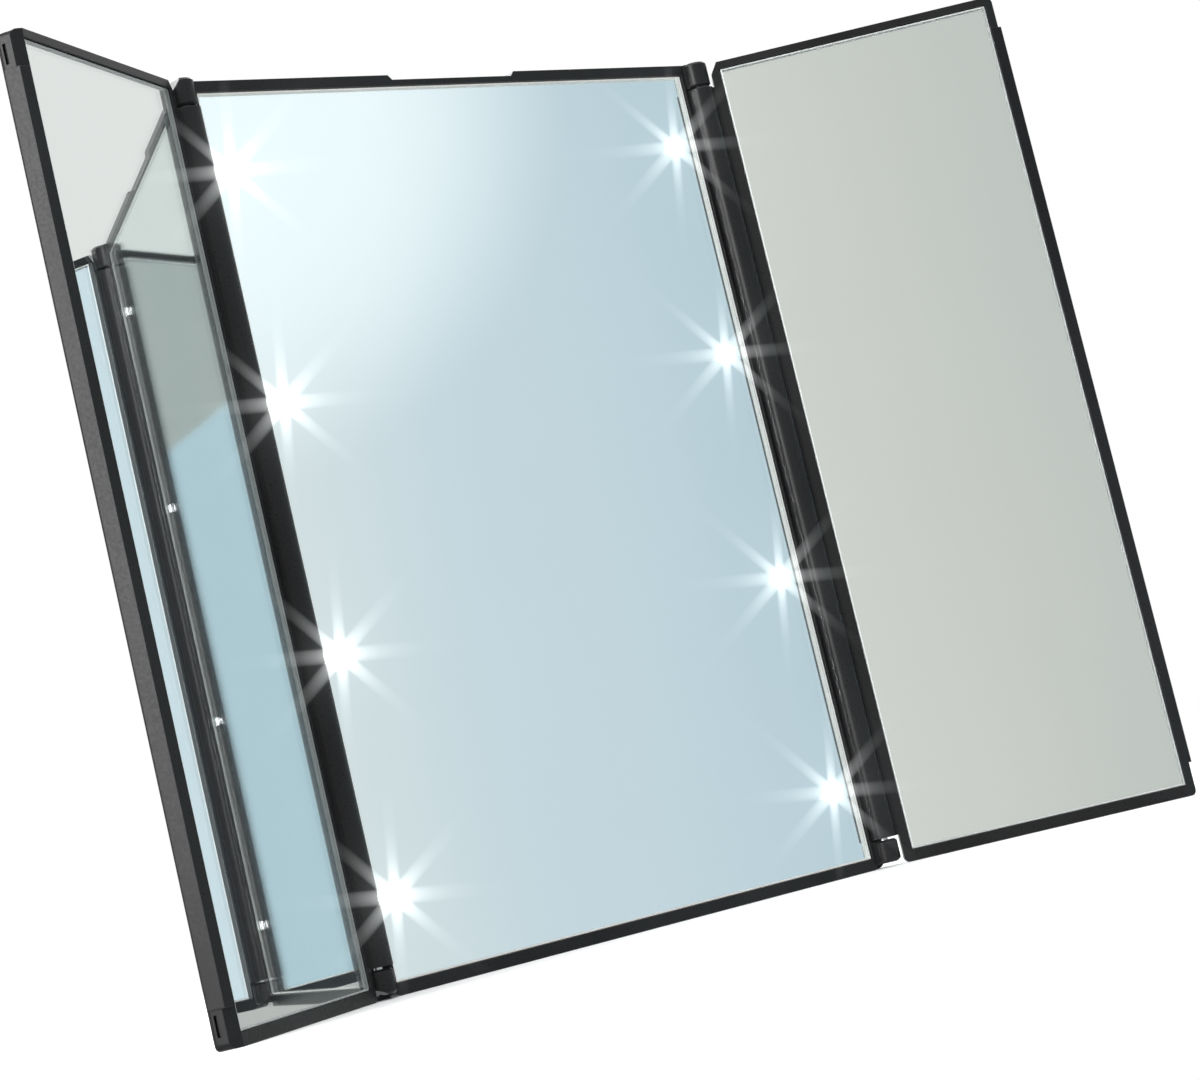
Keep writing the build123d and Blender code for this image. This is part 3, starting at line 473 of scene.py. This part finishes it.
# ------------------------------------------------------------------ modelling helpers
def deselect_all():
    if bpy.context.object and bpy.context.object.mode != "OBJECT":
        bpy.ops.object.mode_set(mode="OBJECT")
    bpy.ops.object.select_all(action="DESELECT")


def apply_place():
    """Moves the selected piece's place, turn and size into its mesh."""
    bpy.ops.object.transform_apply(location=True, rotation=True, scale=True)


def select_faces(piece, direction):
    """Selects just the faces that look along direction; the piece is in edit mode before and after."""
    bpy.ops.mesh.select_all(action="DESELECT")
    bpy.ops.mesh.select_mode(type="FACE")
    bpy.ops.object.mode_set(mode="OBJECT")
    for face in piece.data.polygons:
        face.select = face.normal.dot(direction) > SAME_WAY
    bpy.ops.object.mode_set(mode="EDIT")


def round_edges(piece, width):
    modifier = piece.modifiers.new("round_edges", "BEVEL")
    modifier.width = width
    modifier.segments = CORNER_SEGMENTS
    modifier.limit_method = "ANGLE"
    bpy.context.view_layer.objects.active = piece
    bpy.ops.object.modifier_apply(modifier=modifier.name)


def stand_in_place_of(piece, node):
    """Lets a piece take a CAD node's place, with the same body."""
    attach(piece, frame["nodes"][node]["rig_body"])
    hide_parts(node)


# ------------------------------------------------------------------ mirror films
def wing_facing(side):
    """Direction that a wing's pane faces at rest, from its hinge's range."""
    joints = frame["record"]["behaviour"]["joints"]
    hinge = next(joint for joint in joints if joint["name"] == side + "_wing_hinge")
    turn = math.radians(-hinge["range_deg"][0])
    towards_middle = 1 if side == "left" else -1
    return Vector((towards_middle * math.sin(turn), -math.cos(turn), 0.0))


def copy_of_node(node, name):
    """A merged copy of a CAD node's mesh as a new piece, alone selected and in edit mode."""
    deselect_all()
    piece = bpy.data.objects.new(name, frame["nodes"][node].data.copy())
    bpy.context.scene.collection.objects.link(piece)
    bpy.context.view_layer.objects.active = piece
    piece.select_set(True)
    bpy.ops.object.mode_set(mode="EDIT")
    bpy.ops.mesh.select_all(action="SELECT")
    bpy.ops.mesh.remove_doubles(threshold=MERGE_DISTANCE)
    return piece


def mirror_film(node, name, facing, material):
    """Silver film behind one pane, drawn back so that it never lies in the glass's own face."""
    film = copy_of_node(node, name)
    for direction, distance in ((facing, FILM_FRONT_GAP), (-facing, FILM_BACK_GAP)):
        select_faces(film, direction)
        bpy.ops.transform.translate(value=-direction * distance)
    bpy.ops.object.mode_set(mode="OBJECT")
    paint(film, material)
    stand_in_place_of(film, node)


# ------------------------------------------------------------------ lamps
def lamp_block(centre, width, height, depth):
    """Plain block at its size and place, the start of a lamp's body or tab."""
    deselect_all()
    bpy.ops.mesh.primitive_cube_add(size=1.0, location=centre)
    block = bpy.context.object
    block.scale = (width, depth, height)
    apply_place()
    return block


def lamp_body(centre, width, height, material):
    """Moulded lamp body, with its front sunk into a shallow cup."""
    body = lamp_block(centre, width, height, LAMP_BODY_DEPTH)
    bpy.ops.object.mode_set(mode="EDIT")
    select_faces(body, CENTRE_FACING)
    bpy.ops.mesh.inset(thickness=LAMP_RIM)
    bpy.ops.mesh.extrude_region_move(TRANSFORM_OT_translate={"value": (0.0, LAMP_CUP, 0.0)})
    bpy.ops.transform.resize(value=(LAMP_CUP_TAPER, 1.0, LAMP_CUP_TAPER), center_override=tuple(centre))
    bpy.ops.object.mode_set(mode="OBJECT")
    round_edges(body, LAMP_CORNER)
    paint(body, material)
    return body


def lamp_dome(centre, material):
    """Clear-coated phosphor that stands out of the cup as a low dome."""
    deselect_all()
    bpy.ops.mesh.primitive_uv_sphere_add(
        segments=LAMP_DOME_SEGMENTS,
        ring_count=LAMP_DOME_SEGMENTS // 2,
        radius=LAMP_DOME_R,
        location=centre,
        rotation=(math.pi / 2, 0.0, 0.0),
    )
    dome = bpy.context.object
    apply_place()
    bpy.ops.object.mode_set(mode="EDIT")
    bpy.ops.mesh.select_all(action="SELECT")
    bpy.ops.mesh.bisect(plane_co=centre, plane_no=-CENTRE_FACING, use_fill=True, clear_outer=True)
    bpy.ops.mesh.select_all(action="SELECT")
    bpy.ops.transform.resize(value=(1.0, LAMP_DOME_RISE / LAMP_DOME_R, 1.0), center_override=tuple(centre))
    bpy.ops.mesh.normals_make_consistent(inside=False)
    bpy.ops.object.mode_set(mode="OBJECT")
    bpy.ops.object.shade_smooth_by_angle(angle=LAMP_DOME_SMOOTH)
    paint(dome, material)
    return dome


def lamp_tab(centre, material):
    """Metal tab at one end of a lamp body, where it is soldered to its board."""
    tab = lamp_block(centre, LAMP_TAB_WIDTH, 2 * LAMP_TAB_OUT, LAMP_TAB_DEPTH)
    round_edges(tab, LAMP_TAB_CORNER)
    paint(tab, material)
    return tab


def lamp_row(side, finishes):
    """Four surface-mount lamps on one board, each a body with its cup, lit dome and two tabs."""
    node = "leds_" + side
    low, high = (Vector(corner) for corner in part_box(node))
    width, x = high.x - low.x, (low.x + high.x) / 2
    bottom, top = low.z + LAMP_HEIGHT / 2, high.z - LAMP_HEIGHT / 2
    cup_floor = high.y - LAMP_BODY_DEPTH + LAMP_CUP
    body_height = LAMP_HEIGHT - 2 * LAMP_TAB_OUT
    pieces = []
    for z in (bottom, bottom + LAMP_PITCH, top - LAMP_PITCH, top):
        body_centre = Vector((x, high.y - LAMP_BODY_DEPTH / 2, z))
        pieces.append(lamp_body(body_centre, width, body_height, finishes["lamp_body"]))
        pieces.append(lamp_dome(Vector((x, cup_floor, z)), finishes["lamp_white"]))
        for end in (-body_height / 2, body_height / 2):
            tab_centre = Vector((x, high.y - LAMP_TAB_DEPTH / 2, z + end))
            pieces.append(lamp_tab(tab_centre, finishes["plated_steel"]))
    deselect_all()
    for piece in pieces:
        piece.select_set(True)
    bpy.context.view_layer.objects.active = pieces[0]
    bpy.ops.object.join()
    row = bpy.context.object
    row.name = "lamp_row_" + side
    apply_place()
    stand_in_place_of(row, node)


# ------------------------------------------------------------------ studio, light and camera
def make_studio_world():
    """Soft studio all round: a tinted ring with grey cards and a cloud, and plain tones above and below."""
    world = bpy.data.worlds.new("studio")
    world.use_nodes = True
    bpy.context.scene.world = world
    made = Nodes(world.node_tree)
    towards = made.node("ShaderNodeTexCoord").outputs["Generated"]
    parts = made.node("ShaderNodeSeparateXYZ")
    made.join(towards, parts.inputs[0])
    height = parts.outputs["Z"]
    turn = made.maths("ARCTAN2", parts.outputs["Y"], parts.outputs["X"])

    ring = made.node("ShaderNodeValToRGB")
    ring.color_ramp.interpolation = "EASE"
    while len(ring.color_ramp.elements) < len(STUDIO_RING):
        ring.color_ramp.elements.new(0.5)
    for stop, (degrees, tone) in zip(ring.color_ramp.elements, STUDIO_RING):
        stop.position = (degrees + 180) / 360
        stop.color = (*tone, 1.0)
    made.join(made.ranged(turn, 0.0, 1.0, (-math.pi, math.pi)), ring.inputs["Fac"])
    colour = ring.outputs["Color"]

    for degrees, half_width, fade, heights, climb, tone in STUDIO_CARDS:
        off_middle = made.maths("SUBTRACT", turn, math.radians(degrees))
        outside, inside = math.radians(half_width + fade), math.radians(half_width)
        across = made.eased(made.maths("ABSOLUTE", off_middle), outside, inside)
        level = made.maths("SUBTRACT", height, made.maths("MULTIPLY", off_middle, climb))
        colour = made.blend(made.maths("MULTIPLY", across, made.eased(level, *heights)), colour, tone)
    colour = made.blend(made.eased(made.cosine(towards, CLOUD_TOWARDS), *CLOUD_SPREAD), colour, CLOUD_COLOUR)
    colour = made.blend(made.eased(height, *STUDIO_TOP_HEIGHTS), colour, STUDIO_TOP)
    colour = made.blend(made.eased(height, *STUDIO_LOW_HEIGHTS), colour, STUDIO_LOW)
    seen_directly = made.node("ShaderNodeLightPath").outputs["Is Camera Ray"]
    colour = made.blend(seen_directly, colour, BACKDROP_COLOUR)
    background = world.node_tree.nodes["Background"]
    made.join(colour, background.inputs["Color"])
    background.inputs["Strength"].default_value = 1.0


def make_floor():
    """Pale round floor whose rim fades into the studio, and which the panes don't reflect."""
    deselect_all()
    bpy.ops.mesh.primitive_circle_add(vertices=FLOOR_STEPS, radius=FLOOR_RADIUS, fill_type="NGON")
    floor = bpy.context.object
    floor.name = "studio_floor"
    made = Finish("pale_floor")
    distance = made.node("ShaderNodeVectorMath", operation="LENGTH")
    made.join(made.places, distance.inputs[0])
    opaque = made.ranged(distance.outputs["Value"], 1.0, 0.0, (FLOOR_SOLID_RADIUS, FLOOR_RADIUS))
    grain = made.noise(FLOOR_GRAIN, detail=4.0)
    made.set(Base_Color=made.blend(grain, FLOOR_COLOUR, FLOOR_SHADE), Alpha=opaque)
    made.set(Roughness=made.ranged(grain, *FLOOR_ROUGHNESS), Specular_IOR_Level=FLOOR_SHINE)
    paint(floor, made.material)
    floor.visible_glossy = False
    floor.visible_transmission = False


def make_softboxes():
    centre = Vector((0.0, 0.0, AIM_HEIGHT))
    for name, direction, distance, size, power, colour in SOFTBOXES:
        light = bpy.data.lights.new(name, "AREA")
        light.shape = "RECTANGLE"
        light.size, light.size_y = size
        light.energy = power
        light.color = colour
        box = bpy.data.objects.new(name, light)
        bpy.context.scene.collection.objects.link(box)
        away = Vector(direction).normalized()
        box.location = centre + away * distance
        box.rotation_mode = "QUATERNION"
        box.rotation_quaternion = away.to_track_quat("Z", "Y")


def make_camera():
    data = bpy.data.cameras.new("camera")
    data.sensor_width = CAMERA_SENSOR
    data.lens = CAMERA_LENS
    data.shift_x, data.shift_y = CAMERA_SHIFT
    data.clip_start, data.clip_end = CAMERA_NEAR, CAMERA_FAR
    camera = bpy.data.objects.new("camera", data)
    bpy.context.scene.collection.objects.link(camera)
    camera.location = CAMERA_PLACE
    level = (CAMERA_AIM - CAMERA_PLACE).to_track_quat("-Z", "Y")
    camera.rotation_mode = "QUATERNION"
    camera.rotation_quaternion = level @ Quaternion((0, 0, 1), CAMERA_ROLL)
    bpy.context.scene.camera = camera


def follow_light_through_panes():
    """Each pane costs five passes, so a view by way of all three panes takes fifteen and more."""
    cycles = bpy.context.scene.cycles
    cycles.max_bounces = cycles.transmission_bounces = LIGHT_PASSES
    cycles.glossy_bounces = MIRROR_PASSES


def glare_of_lamps():
    """The glow and the fine rays that a lens draws round lit lamps."""
    scene = bpy.context.scene
    scene.use_nodes = True
    nodes, links = scene.node_tree.nodes, scene.node_tree.links
    nodes.clear()
    picture = nodes.new("CompositorNodeRLayers").outputs["Image"]
    for kind, settings in GLARES:
        glare = nodes.new("CompositorNodeGlare")
        glare.glare_type = kind
        glare.quality = "HIGH"
        glare.inputs["Threshold"].default_value = GLARE_THRESHOLD
        for name, value in settings.items():
            glare.inputs[name].default_value = value
        links.new(picture, glare.inputs["Image"])
        picture = glare.outputs["Image"]
    links.new(picture, nodes.new("CompositorNodeComposite").inputs["Image"])


# ------------------------------------------------------------------ everything
def main():
    make_camera()
    finishes = make_finishes()
    for part in frame["record"]["subparts"]:
        paint(frame["nodes"][part["node"]], finishes[part["material_slot"]])
    mirror_film("centre_silvering", "centre_mirror_film", CENTRE_FACING, finishes["silvering"])
    for side in SIDES:
        facing = wing_facing(side)
        paint(frame["nodes"][side + "_wing_mirror_glass"], clear_glass(side + "_pane_glass", facing))
        mirror_film(side + "_wing_silvering", side + "_wing_mirror_film", facing, finishes["silvering"])
        lamp_row(side, finishes)
    make_studio_world()
    make_floor()
    make_softboxes()
    follow_light_through_panes()
    glare_of_lamps()
    bpy.context.scene.view_settings.view_transform = "Standard"


main()
